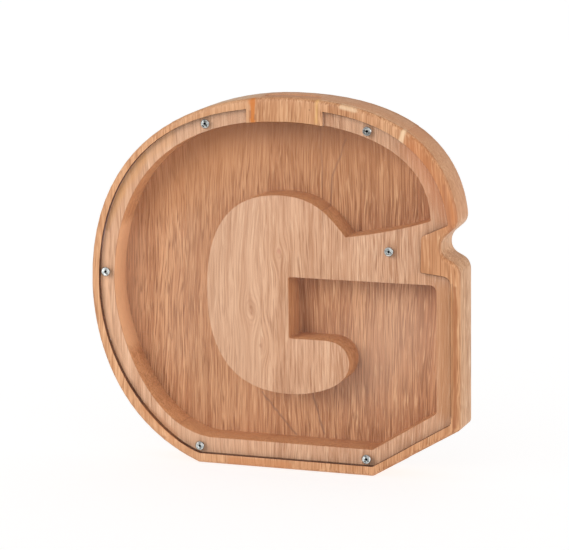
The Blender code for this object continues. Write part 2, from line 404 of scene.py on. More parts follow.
@dataclass(frozen=True)
class WoodFinish:
    """Lacquered light orange-brown wood with an upright grain, one board's worth.

    sway, ripple and ragged are how far the grain and the marks wander, and figure is the grain's contrast.
    """

    pale: Colour = (0.640, 0.395, 0.245)
    deep: Colour = (0.430, 0.215, 0.110)
    pink: Colour = (0.620, 0.330, 0.180)
    fleck: Colour = (0.740, 0.500, 0.330)
    hair: Colour = (0.330, 0.150, 0.062)
    pore: Colour = (0.275, 0.118, 0.048)
    ring: Colour = (0.360, 0.170, 0.090)
    rosy: Colour = (0.92, 0.70, 0.52)
    sway: float = 20.0 * MM
    ripple: float = 3.4 * MM
    ragged: float = 2.2 * MM
    warm: float = 0.0
    light: float = 1.0
    figure: float = 1.0
    shift: float = 0.0
    marks: tuple[Mark, ...] = ()
    whorls: tuple[Whorl, ...] = ()

    def material(self, name: str) -> bpy.types.Material:
        """Build the finish.

        Args:
            name: the material's name.

        Returns:
            The material.
        """
        sheet = Sheet(name)
        point = sheet.add("ShaderNodeTexCoord", output="Object")
        grain = self._bent(sheet, point)
        zone = {"attribute_name": "zone_tint"}
        force = sheet.add("ShaderNodeAttribute", zone, output="Alpha") * self.figure
        colour = self._figure(sheet, grain, force)
        colour = self._pores(sheet, grain, force, colour)
        for whorl in self.whorls:
            colour = sheet.mix(whorl.rings(sheet, point), colour, self.ring)
        tint = sheet.add("ShaderNodeAttribute", zone, output="Color")
        colour = sheet.mix(1.0, colour, tint, "MULTIPLY")
        colour = self._marks(sheet, point, colour)
        return self._surface(sheet, grain, colour)

    def _bent(self, sheet: Sheet, point: Socket) -> Socket:
        """The surface point with the slow waver of the grain added across it."""
        across = sheet.add("ShaderNodeSeparateXYZ", values={"Vector": point}, output="X")
        sway = SWAY.on(sheet, point, self.shift)
        ripple = RIPPLE.on(sheet, point, self.shift)
        bend = (sway - 0.5) * self.sway + (ripple - 0.5) * self.ripple
        for whorl in self.whorls:
            bend = bend - (across - whorl.middle[0] * MM) * whorl.mask(sheet, point)
        sideways = sheet.add("ShaderNodeCombineXYZ", values={"X": bend, "Y": 0.0, "Z": 0.0})
        return sheet.vector("ADD", point, sideways)

    def _figure(self, sheet: Sheet, grain: Socket, force: Socket) -> Socket:
        """Broad bands, streaks and fibres of the board's own colour."""
        bands, streaks, fibres, cloud = (
            noise.on(sheet, grain, self.shift) for noise in (BANDS, STREAKS, FIBRES, CLOUD)
        )
        tone = (bands - 0.5) * 0.85 + (streaks - 0.5) * 1.3 + (fibres - 0.5) * 1.5
        tone = tone * force + (cloud - 0.5) * 0.6
        share = (tone + 0.36).rise(-0.25, 1.05)
        colour = sheet.mix(share, self.pale, self.deep)
        pink = sheet.mix(cloud.rise(0.42, 0.68) * 0.25, colour, self.pink)
        tint = tuple(self.light * (1.0 + (rosy - 1.0) * self.warm) for rosy in self.rosy)
        return sheet.mix(1.0, pink, tint, "MULTIPLY")

    def _pores(self, sheet: Sheet, grain: Socket, force: Socket, colour: Socket) -> Socket:
        """Short dark dashes along the grain, and pale ones between them."""
        dashes, hairs, flecks, patches = (
            noise.on(sheet, grain, self.shift) for noise in (DASHES, HAIRS, FLECKS, PATCHES)
        )
        dark = dashes.rise(0.53, 0.72) * patches.rise(0.25, 0.62) * force * 0.62
        fine = hairs.rise(0.48, 0.72) * force * 0.46
        pale = flecks.rise(0.54, 0.74) * force * 0.42
        colour = sheet.mix(pale, colour, self.fleck)
        colour = sheet.mix(fine, colour, self.hair)
        return sheet.mix(dark, colour, self.pore)

    def _marks(self, sheet: Sheet, point: Socket, colour: Socket) -> Socket:
        """The board's own knots, lines and stains, and its patches of painted shade and painted light."""
        depth = sheet.add("ShaderNodeSeparateXYZ", values={"Vector": point}, output="Y")
        ragged = (RAGGED.on(sheet, point, self.shift) - 0.5) * self.ragged
        jitter = sheet.add("ShaderNodeCombineXYZ", values={"X": ragged, "Y": 0.0, "Z": 0.0})
        flat = sheet.vector("MULTIPLY_ADD", point, (1.0, 0.0, 1.0), jitter)
        for mark in self.marks:
            colour = sheet.mix(mark.mask(sheet, flat, depth), colour, mark.colour)
        return colour

    def _surface(self, sheet: Sheet, grain: Socket, colour: Socket) -> bpy.types.Material:
        """Satin lacquer over the colour, with the grain just felt through it."""
        felt = FELT.on(sheet, grain, self.shift)
        handled = HANDLED.on(sheet, grain, self.shift)
        relief = {"Strength": 0.22, "Distance": 0.4 * MM, "Height": felt}
        bump = sheet.add("ShaderNodeBump", values=relief)
        values = {
            "Base Color": colour,
            "Roughness": 0.40 + felt * 0.14 + handled * 0.12,
            "Specular IOR Level": 0.32,
            "Normal": bump,
        }
        return sheet.finish(sheet.add("ShaderNodeBsdfPrincipled", values=values))


@dataclass
class Stave:
    """One full-depth board of the glued-up body."""

    number: int
    finish: WoodFinish
    arris: float = 0.25 * MM
    joint_gap: float = 0.03 * MM
    smooth_below: float = math.radians(38)
    eased_above: float = math.radians(50)

    @property
    def node(self) -> str:
        """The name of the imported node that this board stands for."""
        return f"stave_{self.number}"

    def build(self) -> bpy.types.Object:
        """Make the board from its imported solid: welded, arrises eased, smooth round its curves.

        Returns:
            The finished piece, riding on the body.
        """
        mesh = bpy.data.meshes.new(self.node + "_board")
        shape = welded(self.node)
        self._close_joints(shape)
        self._ease_arrises(shape)
        bmesh.ops.triangulate(shape, faces=[face for face in shape.faces if len(face.verts) > 4])
        shape.normal_update()
        shape.to_mesh(mesh)
        shape.free()
        self._dress(mesh)
        piece = bpy.data.objects.new(self.node + "_board", mesh)
        bpy.context.scene.collection.objects.link(piece)
        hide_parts(self.node)
        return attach(piece, "body")

    def _joints(self) -> list[tuple[float, float]]:
        """Each glued face of the board, as its own X and the middle of the joint."""
        low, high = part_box(self.node)
        found = []
        if self.number > 1:
            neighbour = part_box(f"stave_{self.number - 1}")[1]
            found.append((low.x, (low.x + neighbour.x) / 2 + self.joint_gap / 2))
        if self.number < STAVES:
            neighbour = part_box(f"stave_{self.number + 1}")[0]
            found.append((high.x, (high.x + neighbour.x) / 2 - self.joint_gap / 2))
        return found

    def _close_joints(self, shape: bmesh.types.BMesh) -> None:
        """Bring each glued face up to the joint, so that only a hairline is left."""
        for face_x, joint_x in self._joints():
            for vertex in shape.verts:
                if abs(vertex.co.x - face_x) < TOUCHING:
                    vertex.co.x = joint_x

    def _ease_arrises(self, shape: bmesh.types.BMesh) -> None:
        """Take the sharpness off the milled edges, away from the glued faces."""
        joints = [joint_x for _, joint_x in self._joints()]

        def glued(face: bmesh.types.BMFace) -> bool:
            """Whether a face lies in a joint."""
            reached = any(abs(vertex.co.x - x) < TOUCHING for x in joints for vertex in face.verts[:])
            return reached and abs(face.normal.x) > SQUARE_ON

        edges = [
            edge
            for edge in shape.edges
            if len(edge.link_faces) == 2
            and edge.is_convex
            and edge.calc_face_angle() > self.eased_above
            and edge.calc_length() > self.arris
            and not any(glued(face) for face in edge.link_faces)
        ]
        bmesh.ops.bevel(
            shape,
            geom=edges,
            offset=self.arris,
            offset_type="OFFSET",
            segments=2,
            profile=0.5,
            affect="EDGES",
            clamp_overlap=True,
        )

    def _dress(self, mesh: bpy.types.Mesh) -> None:
        """Shade the board, tint each face by its zone and give it its finish."""
        smooth(mesh, self.smooth_below)
        mesh.materials.clear()
        mesh.materials.append(self.finish.material(f"lacquered_wood_{self.number}"))
        tints = mesh.attributes.new("zone_tint", "FLOAT_COLOR", "CORNER")
        for face in mesh.polygons:
            tint = self._zone(mesh, face).value
            for corner in face.loop_indices:
                tints.data[corner].color = tint

    def _zone(self, mesh: bpy.types.Mesh, face: bpy.types.MeshPolygon) -> Zone:
        """The zone that a face belongs to, from its direction and its depth."""
        depths = [mesh.vertices[i].co.y / MM for i in face.vertices]
        near, far = min(depths), max(depths)
        across, into = abs(face.normal.x), face.normal.y
        if across > SQUARE_ON and any(abs(face.center.x - joint) < TOUCHING for _, joint in self._joints()):
            return Zone.GLUE_FACE
        if into > 0.9 and near > BACK_FROM:
            return Zone.BACK
        if far < RIM_TO or (far < ROUNDED_TO and abs(into) > 0.1):
            return Zone.RIM
        if into < -0.7:
            return Zone.FLOOR if near > FLOOR_FROM else Zone.LEDGE
        if far > SIDE_FROM:
            return Zone.LIT_SIDE
        if far > LEDGE_TO:
            return Zone.CAVITY_WALL
        # Rebate walls take the painted shade, except the land ends beside the slot, which take the ledge's
        # tint.
        return Zone.LEDGE if across > SQUARE_ON and face.center.z / MM > LAND_FOOT else Zone.SHADED_REBATE_WALL


# ---------------------------------------------------------------- cover

@dataclass(frozen=True)
class AcrylicFinish:
    """Clear cast acrylic: almost nothing face on, a little haze and a polished edge, painted slightly
    darker as painted shade of the gap and rebate wall behind it.
    """

    tint: Colour = (0.994, 0.990, 0.992)
    haze: Colour = (0.80, 0.76, 0.80)
    edge: Colour = (0.100, 0.045, 0.022)
    face_share: float = 0.010
    edge_share: float = 0.50
    lit_from: float = 110 * MM
    lit_above: float = 135 * MM

    def material(self, name: str) -> bpy.types.Material:
        """Build the finish.

        Args:
            name: the material's name.

        Returns:
            The material.
        """
        sheet = Sheet(name)
        point = sheet.add("ShaderNodeTexCoord", output="Object")
        normal = sheet.add("ShaderNodeNewGeometry", output="Normal")
        facing = sheet.add("ShaderNodeSeparateXYZ", values={"Vector": normal}, output="Y").size()
        sideways = sheet.add("ShaderNodeSeparateXYZ", values={"Vector": normal}, output="X")
        height = sheet.add("ShaderNodeSeparateXYZ", values={"Vector": point}, output="Z")
        # The edge's painted shade is eased at the plate's ends beside the slot, and lifted up the
        # right-hand side as painted light where the key light falls.
        ends = sideways.size().rise(0.60, 0.68) * height.maths("GREATER_THAN", height, LAND_FOOT * MM)
        right = sideways.rise(0.15, 0.45) * height.rise(self.lit_from, self.lit_above)
        eased_shade = ends.maths("MAXIMUM", ends * 0.85, right * 0.75)
        cloudy = sheet.noise(point, (25.0, 25.0, 18.0), 3.0, 7.0)
        scratches = sheet.noise(point, (900.0, 900.0, 30.0), 2.0, 13.0)
        rim = facing.rise(0.95, 0.75) * (1.0 - eased_shade)
        share = (rim * (self.edge_share - self.face_share) + self.face_share) * (0.7 + cloudy * 0.6)
        relief = {"Strength": 0.05, "Distance": 0.2 * MM, "Height": scratches}
        bump = sheet.add("ShaderNodeBump", values=relief)
        values = {
            "Base Color": sheet.mix(rim, self.haze, self.edge),
            "Roughness": 0.06 + scratches * 0.05,
            "Specular IOR Level": 0.5,
            "Normal": bump,
        }
        film = sheet.add("ShaderNodeBsdfPrincipled", values=values)
        clear = sheet.add("ShaderNodeBsdfTransparent", values={"Color": self.tint})
        return sheet.finish(sheet.add("ShaderNodeMixShader", values={0: share, 1: clear, 2: film}))


@dataclass
class Cover:
    """The clear plate let into the front, with its countersunk holes."""

    finish: AcrylicFinish = field(default_factory=AcrylicFinish)
    node: str = "clear_cover"
    chamfer: float = 0.25 * MM
    broken_above: float = math.radians(80)
    smooth_below: float = math.radians(30)

    def build(self) -> bpy.types.Object:
        """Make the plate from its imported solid, with its edges broken and its holes smooth.

        Returns:
            The finished piece, riding on the cover's own body.
        """
        mesh = bpy.data.meshes.new("clear_cover_plate")
        shape = welded(self.node)
        edges = [
            edge
            for edge in shape.edges
            if len(edge.link_faces) == 2 and edge.is_convex and edge.calc_face_angle() > self.broken_above
        ]
        bmesh.ops.bevel(
            shape,
            geom=edges,
            offset=self.chamfer,
            offset_type="OFFSET",
            segments=1,
            profile=0.5,
            affect="EDGES",
            clamp_overlap=True,
        )
        bmesh.ops.triangulate(shape, faces=[face for face in shape.faces if len(face.verts) > 4])
        shape.to_mesh(mesh)
        shape.free()
        smooth(mesh, self.smooth_below)
        mesh.materials.clear()
        mesh.materials.append(self.finish.material("clear_acrylic"))
        piece = bpy.data.objects.new("clear_cover_plate", mesh)
        bpy.context.scene.collection.objects.link(piece)
        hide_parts(self.node)
        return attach(piece, "cover")


# ---------------------------------------------------------------- screws

@dataclass(frozen=True)
class SteelFinish:
    """Plated steel, scuffed bright where it is flat, with painted shade dark down in the recess."""

    bright: Colour = (0.66, 0.68, 0.66)
    dull: Colour = (0.32, 0.35, 0.35)
    recess_shade: Colour = (0.030, 0.036, 0.038)
    face_y: float = -12.0 * MM
    dark_from: float = 0.25 * MM
    dark_below: float = 0.75 * MM

    def material(self, name: str) -> bpy.types.Material:
        """Build the finish.

        Args:
            name: the material's name.

        Returns:
            The material.
        """
        sheet = Sheet(name)
        point = sheet.add("ShaderNodeTexCoord", output="Object")
        inward = sheet.add("ShaderNodeSeparateXYZ", values={"Vector": point}, output="Y") - self.face_y
        spots = sheet.noise(point, (700.0, 700.0, 700.0), 3.0, 5.0)
        scuffs = sheet.noise(point, (3200.0, 3200.0, 3200.0), 2.0, 17.0)
        colour = sheet.mix(spots.rise(0.36, 0.64), self.bright, self.dull)
        # Painted shade: the faces of the cross recess go dark with depth.
        recess = sheet.add("ShaderNodeAttribute", {"attribute_name": "recess"}, output="Fac")
        colour = sheet.mix(inward.rise(self.dark_from, self.dark_below) * recess, colour, self.recess_shade)
        relief = {"Strength": 0.3, "Distance": 0.1 * MM, "Height": scuffs}
        bump = sheet.add("ShaderNodeBump", values=relief)
        values = {
            "Base Color": colour,
            "Metallic": 1.0,
            "Roughness": 0.26 + spots * 0.26,
            "Normal": bump,
        }
        return sheet.finish(sheet.add("ShaderNodeBsdfPrincipled", values=values))


class Tree:
    """A Geometry Nodes tree, filled in from its named inputs to one finished geometry."""

    def __init__(self, name: str, inputs: dict[str, str]) -> None:
        """Start a tree with its named inputs.

        Args:
            name: the tree's name.
            inputs: each input's name and socket type.
        """
        self.group = bpy.data.node_groups.new(name, "GeometryNodeTree")
        self.group.interface.new_socket(name="Geometry", in_out="INPUT", socket_type="NodeSocketGeometry")
        self.identifiers = {
            label: self.group.interface.new_socket(name=label, in_out="INPUT", socket_type=kind).identifier
            for label, kind in inputs.items()
        }
        self.group.interface.new_socket(name="Geometry", in_out="OUTPUT", socket_type="NodeSocketGeometry")
        self.given = self.group.nodes.new("NodeGroupInput")

    def value(self, label: str) -> bpy.types.NodeSocket:
        """The socket of a named input."""
        return self.given.outputs[label]

    def add(
        self,
        kind: str,
        settings: dict[str, object] | None = None,
        values: dict[str | int, object] | None = None,
        output: str | int = 0,
    ) -> bpy.types.NodeSocket:
        """Add any node.

        Args:
            kind: the node's type.
            settings: its properties.
            values: values or links for its sockets. A list is linked to a multi-input socket.
            output: the output that is returned.

        Returns:
            That output.
        """
        node = self.group.nodes.new(kind)
        for key, value in (settings or {}).items():
            setattr(node, key, value)
        for key, value in (values or {}).items():
            for one in value if isinstance(value, list) else [value]:
                if isinstance(one, bpy.types.NodeSocket):
                    self.group.links.new(one, node.inputs[key])
                else:
                    node.inputs[key].default_value = one
        return node.outputs[output]

    def sum(self, first: object, second: object, operation: str = "ADD") -> bpy.types.NodeSocket:
        """One Math node on two values or links."""
        return self.add("ShaderNodeMath", {"operation": operation}, {0: first, 1: second})

    def moved(
        self, shape: bpy.types.NodeSocket, up: object, turn: Colour = (0.0, 0.0, 0.0)
    ) -> bpy.types.NodeSocket:
        """A shape turned, then moved along its own Z."""
        lift = self.add("ShaderNodeCombineXYZ", values={"X": 0.0, "Y": 0.0, "Z": up})
        values = {"Geometry": shape, "Translation": lift, "Rotation": turn}
        return self.add("GeometryNodeTransform", values=values)

    def finish(self, shape: bpy.types.NodeSocket) -> None:
        """End the tree: real geometry, its material, the output."""
        real = self.add("GeometryNodeRealizeInstances", values={"Geometry": shape})
        values = {"Geometry": real, "Material": self.value("Finish")}
        dressed = self.add("GeometryNodeSetMaterial", values=values)
        output = self.group.nodes.new("NodeGroupOutput")
        self.group.links.new(dressed, output.inputs[0])


ROUND_SIDES = 48
SHANK_SIDES = 32
WELL_SIDES = 16
THREAD_STEPS = 24
THREAD_RADIUS = 0.24 * MM
TIP_RADIUS = 0.12 * MM
BRIM_SHARE = 0.14
CROWN_SHARE = 0.93
WELL_TOP_SHARE = 0.95
WELL_FOOT_SHARE = 0.5
RECESS_DEPTH_SHARE = 1.3


def screw_tree() -> Tree:
    """A countersunk cross-recess wood screw along +Z, its head's face at Z = 0.

    Returns:
        The tree, with the screw's sizes, turn and finish as its inputs.
    """
    lengths = ("Head radius", "Head height", "Shank radius", "Length", "Tip", "Pitch")
    recess = ("Recess span", "Recess width", "Turn")
    inputs = {label: "NodeSocketFloat" for label in lengths + recess}
    inputs["Finish"] = "NodeSocketMaterial"
    tree = Tree("countersunk_screw", inputs)
    head_r, head_h = tree.value("Head radius"), tree.value("Head height")
    shank_r, tip = tree.value("Shank radius"), tree.value("Tip")
    brim = tree.sum(head_h, BRIM_SHARE, "MULTIPLY")
    cone_h = tree.sum(head_h, brim, "SUBTRACT")
    cone = tree.add(
        "GeometryNodeMeshCone",
        values={"Vertices": ROUND_SIDES, "Radius Top": head_r, "Radius Bottom": shank_r, "Depth": cone_h},
    )
    cone = tree.moved(cone, tree.sum(head_h, -1.0, "MULTIPLY"))
    crown = tree.add(
        "GeometryNodeMeshCone",
        values={
            "Vertices": ROUND_SIDES,
            "Radius Top": tree.sum(head_r, CROWN_SHARE, "MULTIPLY"),
            "Radius Bottom": head_r,
            "Depth": brim,
        },
    )
    crown = tree.moved(crown, tree.sum(brim, -1.0, "MULTIPLY"))
    straight = tree.sum(tree.sum(tree.value("Length"), head_h, "SUBTRACT"), tip, "SUBTRACT")
    shank = tree.add(
        "GeometryNodeMeshCylinder", values={"Vertices": SHANK_SIDES, "Radius": shank_r, "Depth": straight}
    )
    middle = tree.sum(tree.sum(head_h, -1.0, "MULTIPLY"), tree.sum(straight, 0.5, "MULTIPLY"), "SUBTRACT")
    shank = tree.moved(shank, middle)
    point = tree.add(
        "GeometryNodeMeshCone",
        values={"Vertices": SHANK_SIDES, "Radius Top": shank_r, "Radius Bottom": TIP_RADIUS, "Depth": tip},
    )
    point = tree.moved(point, tree.sum(tree.value("Length"), -1.0, "MULTIPLY"))
    body = tree.add(
        "GeometryNodeMeshBoolean", {"operation": "UNION"}, {"Mesh 2": [cone, crown, shank, point]}
    )
    deep = tree.sum(head_h, RECESS_DEPTH_SHARE, "MULTIPLY")
    bars = []
    for quarter in (0.0, math.pi / 2):
        size = tree.add(
            "ShaderNodeCombineXYZ",
            values={"X": tree.value("Recess span"), "Y": tree.value("Recess width"), "Z": deep},
        )
        bar = tree.add("GeometryNodeMeshCube", values={"Size": size})
        bars.append(tree.moved(bar, 0.0, (0.0, 0.0, quarter)))
    well = tree.add(
        "GeometryNodeMeshCone",
        values={
            "Vertices": WELL_SIDES,
            "Radius Top": tree.sum(tree.value("Recess width"), WELL_TOP_SHARE, "MULTIPLY"),
            "Radius Bottom": tree.sum(tree.value("Recess width"), WELL_FOOT_SHARE, "MULTIPLY"),
            "Depth": deep,
        },
    )
    bars.append(tree.moved(well, tree.sum(deep, -0.5, "MULTIPLY")))
    cut = {"Mesh 1": body, "Mesh 2": bars}
    body = tree.add("GeometryNodeMeshBoolean", {"operation": "DIFFERENCE"}, cut)
    turns = tree.sum(straight, tree.value("Pitch"), "DIVIDE")
    helix = tree.add(
        "GeometryNodeCurveSpiral",
        values={
            "Resolution": THREAD_STEPS,
            "Rotations": turns,
            "Start Radius": shank_r,
            "End Radius": shank_r,
            "Height": straight,
        },
    )
    ridge = tree.add("GeometryNodeCurvePrimitiveCircle", values={"Resolution": 3, "Radius": THREAD_RADIUS})
    swept = {"Curve": helix, "Profile Curve": ridge, "Fill Caps": True}
    thread = tree.add("GeometryNodeCurveToMesh", values=swept)
    foot = tree.sum(tree.sum(head_h, straight, "ADD"), -1.0, "MULTIPLY")
    thread = tree.moved(thread, foot)
    whole = tree.add("GeometryNodeJoinGeometry", values={"Geometry": [body, thread]})
    turned = tree.add("ShaderNodeCombineXYZ", values={"X": 0.0, "Y": 0.0, "Z": tree.value("Turn")})
    tree.finish(tree.add("GeometryNodeTransform", values={"Geometry": whole, "Rotation": turned}))
    return tree


@dataclass
class Screw:
    """One countersunk screw, made by the shared tree and stood on the front."""

    number: int
    turn: float
    tree: Tree
    finish: bpy.types.Material
    head_height: float = 1.5 * MM
    shank_radius: float = 0.95 * MM
    tip: float = 2.0 * MM
    pitch: float = 0.9 * MM
    recess_span: float = 3.5 * MM
    recess_width: float = 1.05 * MM
    smooth_below: float = math.radians(30)

    def build(self) -> bpy.types.Object:
        """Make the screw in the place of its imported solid.

        Returns:
            The finished piece, riding on the screw's own body.
        """
        name = f"screw_{self.number}"
        low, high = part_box(name)
        sizes = {
            "Head radius": (high.x - low.x) / 2,
            "Head height": self.head_height,
            "Shank radius": self.shank_radius,
            "Length": high.y - low.y,
            "Tip": self.tip,
            "Pitch": self.pitch,
            "Recess span": self.recess_span,
            "Recess width": self.recess_width,
            "Turn": self.turn,
            "Finish": self.finish,
        }
        maker = bpy.data.objects.new(name + "_maker", bpy.data.meshes.new(name + "_maker"))
        bpy.context.scene.collection.objects.link(maker)
        nodes = maker.modifiers.new("screw", "NODES")
        nodes.node_group = self.tree.group
        for label, value in sizes.items():
            nodes[self.tree.identifiers[label]] = value
        bpy.context.view_layer.update()
        mesh = bpy.data.meshes.new_from_object(maker.evaluated_get(bpy.context.evaluated_depsgraph_get()))
        maker.modifiers.clear()
        bpy.data.objects.remove(maker, do_unlink=True)
        middle = Vector(((low.x + high.x) / 2, low.y, (low.z + high.z) / 2))
        self._find_recess(mesh)
        mesh.transform(Matrix.Translation(middle) @ Matrix.Rotation(math.pi / 2, 4, "X"))
        smooth(mesh, self.smooth_below)
        piece = bpy.data.objects.new(name + "_cross_head", mesh)
        bpy.context.scene.collection.objects.link(piece)
        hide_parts(name)
        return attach(piece, name)

    def _find_recess(self, mesh: bpy.types.Mesh) -> None:
        """Mark the faces of the cross recess, which look across or towards the screw's own axis, Z."""
        recess = mesh.attributes.new("recess", "FLOAT", "FACE")
        for face in mesh.polygons:
            outward = face.normal.x * face.center.x + face.normal.y * face.center.y
            inside = math.hypot(face.center.x, face.center.y) < self.recess_span / 2 + 0.1 * MM
            high = face.center.z > -(RECESS_DEPTH_SHARE + 0.1) * self.head_height
            recess.data[face.index].value = float(high and inside and outward < TOUCHING)


# ---------------------------------------------------------------- body and stage

RED_BROWN: Colour = (0.330, 0.120, 0.050)
DARK_LINE: Colour = (0.215, 0.100, 0.052)
KNOT: Colour = (0.300, 0.120, 0.050)
CREAM: Colour = (0.760, 0.540, 0.340)
RESIN: Colour = (0.520, 0.160, 0.026)
EMBER: Colour = (0.480, 0.190, 0.070)
BLUSH: Colour = (0.430, 0.180, 0.058)
LIT_EDGE: Colour = (0.755, 0.435, 0.250)
SHADE: Colour = (0.330, 0.130, 0.045)
PALE: Colour = (0.690, 0.450, 0.310)
HONEY: Colour = (0.660, 0.380, 0.120)
RUSSET: Colour = (0.270, 0.090, 0.032)
EYE: Colour = (0.500, 0.200, 0.130)
GLOW: Colour = (0.520, 0.160, 0.045)
AMBER: Colour = (0.595, 0.300, 0.115)
LIT_WALL: Colour = (0.850, 0.485, 0.260)
DARK_ORANGE: Colour = (0.540, 0.235, 0.105)

MARKS = (
    # The resin line and the stains beside the slot.
    Mark((-9.0, 190.0), (-9.2, 204.0), 2.2, RESIN, 0.92, Layer.FRONT, 0.7),
    Mark((-9.8, 191.4), (-8.6, 191.0), 2.5, RESIN, 0.55, Layer.FRONT, 0.9),
    Mark((-9.6, 200.6), (-8.8, 200.4), 2.9, RESIN, 0.75, Layer.FRONT, 0.9),
    Mark((-10.6, 195.4), (-10.4, 192.2), 1.1, RED_BROWN, 0.60, Layer.FRONT, 1.0),
    Mark((-7.4, 193.6), (-7.6, 191.4), 0.9, DARK_LINE, 0.50, Layer.FRONT, 1.0),
    Mark((26.6, 191.0), (27.2, 203.0), 1.7, HONEY, 0.5, Layer.FRONT, 0.9),
    Mark((22.8, 197.3), (22.8, 197.5), 0.6, DARK_LINE, 0.70, Layer.FRONT, 1.0),
    # Knots.
    Mark((-88.5, 75.5), (-87.9, 76.3), 1.6, KNOT, 0.7, Layer.FRONT, 0.9),
    Mark((-64.5, 12.9), (-63.7, 12.6), 1.6, KNOT, 0.6, Layer.FRONT, 0.9),
    Mark((-12.9, 88.5), (-12.4, 84.8), 1.5, KNOT, 0.45, Layer.FRONT, 1.0),
    Mark((-8.0, 67.7), (-7.6, 67.0), 1.2, KNOT, 0.40, Layer.FRONT, 1.0),
    # The dark right-hand rim.
    Mark((102.4, 106.0), (102.4, 31.0), 1.9, RUSSET, 0.78, Layer.FRONT, 0.9),
    Mark((100.8, 108.0), (100.8, 36.0), 0.7, DARK_LINE, 0.60, Layer.FRONT, 0.9),
    # The left-hand ledge and cavity wall. The lit-edge marks on the ledge are painted light where the rim's
    # shadow falls, and the lit-wall mark is painted light on the cavity's left wall.
    Mark((-98.7, 97.0), (-97.0, 124.0), 3.4, LIT_EDGE, 0.62, Layer.LEDGE, 0.5),
    Mark((-98.5, 131.0), (-89.5, 149.0), 6.5, AMBER, 0.60, Layer.LEDGE, 0.5),
    Mark((-89.5, 149.0), (-76.0, 168.0), 6.5, AMBER, 0.60, Layer.LEDGE, 0.5),
    Mark((-76.0, 168.0), (-60.0, 180.0), 6.5, AMBER, 0.35, Layer.LEDGE, 0.5),
    Mark((-91.0, 126.0), (-90.0, 64.0), 10.0, LIT_WALL, 0.68, Layer.WALL, 0.8),
    Mark((-98.7, 97.0), (-96.0, 68.0), 3.4, LIT_EDGE, 0.60, Layer.LEDGE, 0.5),
    Mark((-96.0, 68.0), (-85.5, 43.0), 3.0, LIT_EDGE, 0.40, Layer.LEDGE, 0.5),
    # Warmer, darker colour at the right and over the top.
    Mark((96.0, 102.0), (96.0, 40.0), 9.0, BLUSH, 0.55, Layer.FRONT, 0.9),
    Mark((80.0, 178.0), (100.0, 144.0), 12.0, GLOW, 0.42, Layer.FRONT, 1.0),
    Mark((-5.0, 206.0), (50.0, 203.0), 8.0, DARK_ORANGE, 0.55, Layer.OUTSIDE, 0.7),
    Mark((50.0, 203.0), (80.0, 186.0), 8.0, DARK_ORANGE, 0.55, Layer.OUTSIDE, 0.7),
    Mark((80.0, 186.0), (104.0, 146.0), 8.0, DARK_ORANGE, 0.50, Layer.OUTSIDE, 0.7),
    Mark((3.3, 119.5), (3.4, 120.2), 1.4, EYE, 0.5, Layer.FRONT, 1.0),
    Mark((97.0, 160.0), (100.5, 133.0), 2.0, RED_BROWN, 0.60, Layer.FRONT, 0.9),
    # The bottom edge.
    Mark((-24.0, 2.4), (8.0, 2.4), 3.2, EMBER, 0.50, Layer.FRONT, 0.5),
    Mark((-76.0, 29.0), (-58.0, 13.5), 2.6, EMBER, 0.45, Layer.FRONT, 0.8),
    # Broad tones of the floor: painted shade under the top and upper-left walls, painted light along the
    # left wall, and paler at the lower right and on the left.
    Mark((-30.0, 186.0), (60.0, 180.0), 52.0, BLUSH, 0.45, Layer.FLOOR, 1.0),
    Mark((-52.0, 184.0), (72.0, 182.0), 17.0, SHADE, 0.50, Layer.FLOOR, 1.0),
    Mark((-74.0, 142.0), (-40.0, 176.0), 28.0, BLUSH, 0.52, Layer.FLOOR, 1.0),
    Mark((48.0, 60.0), (66.0, 78.0), 44.0, PALE, 0.28, Layer.FLOOR, 1.0),
    Mark((-62.0, 60.0), (-58.0, 120.0), 24.0, PALE, 0.10, Layer.FLOOR, 1.0),
    Mark((-91.0, 62.0), (-91.0, 118.0), 16.0, LIT_EDGE, 0.35, Layer.FLOOR, 1.0),
    # Pale flecks of the rim.
    Mark((74.6, 187.5), (73.2, 182.5), 1.9, CREAM, 0.75, Layer.FRONT, 0.7),
    Mark((40.5, 199.6), (48.0, 198.0), 1.8, CREAM, 0.6, Layer.FRONT, 0.8),
    # Dark lines of the floor.
    Mark((-13.5, 37.2), (5.9, 14.9), 0.9, DARK_LINE, 0.62, Layer.FLOOR, 0.9),
    Mark((16.1, 38.7), (22.2, 16.2), 0.9, DARK_LINE, 0.68, Layer.FLOOR, 0.9),
    Mark((36.3, 179.4), (28.8, 159.7), 0.8, DARK_LINE, 0.50, Layer.FLOOR, 0.9),
    Mark((28.8, 159.7), (27.0, 143.3), 0.8, DARK_LINE, 0.50, Layer.FLOOR, 0.9),
    Mark((21.8, 186.4), (23.0, 145.8), 0.7, DARK_LINE, 0.35, Layer.FLOOR, 0.9),
)

SCREW_TURNS = (0.35, 0.75, 0.15, 0.6, 0.05, 0.5)
# The upper screws get a darker copy of the steel.
DARKER_ABOVE = 150 * MM
DARKER_STEEL = SteelFinish(bright=(0.48, 0.49, 0.47), dull=(0.17, 0.18, 0.18))

WHORLS = (
    Whorl((-12.9, 86.8), 11.0, 0.9),
    Whorl((-8.0, 67.7), 9.0, 0.85),
    Whorl((3.5, 118.5), 7.0, 0.9),
)

BOARDS = {
    1: WoodFinish(light=1.10, warm=-0.10, shift=3.1, figure=0.95),
    2: WoodFinish(light=1.01, warm=-0.05, shift=17.7, figure=0.75, whorls=WHORLS[:1]),
    3: WoodFinish(light=0.99, warm=0.05, shift=31.3, figure=1.0, whorls=WHORLS[1:]),
    4: WoodFinish(light=1.0, warm=0.05, shift=47.9, figure=1.22),
    5: WoodFinish(light=0.94, warm=0.32, shift=59.3, figure=1.32),
}


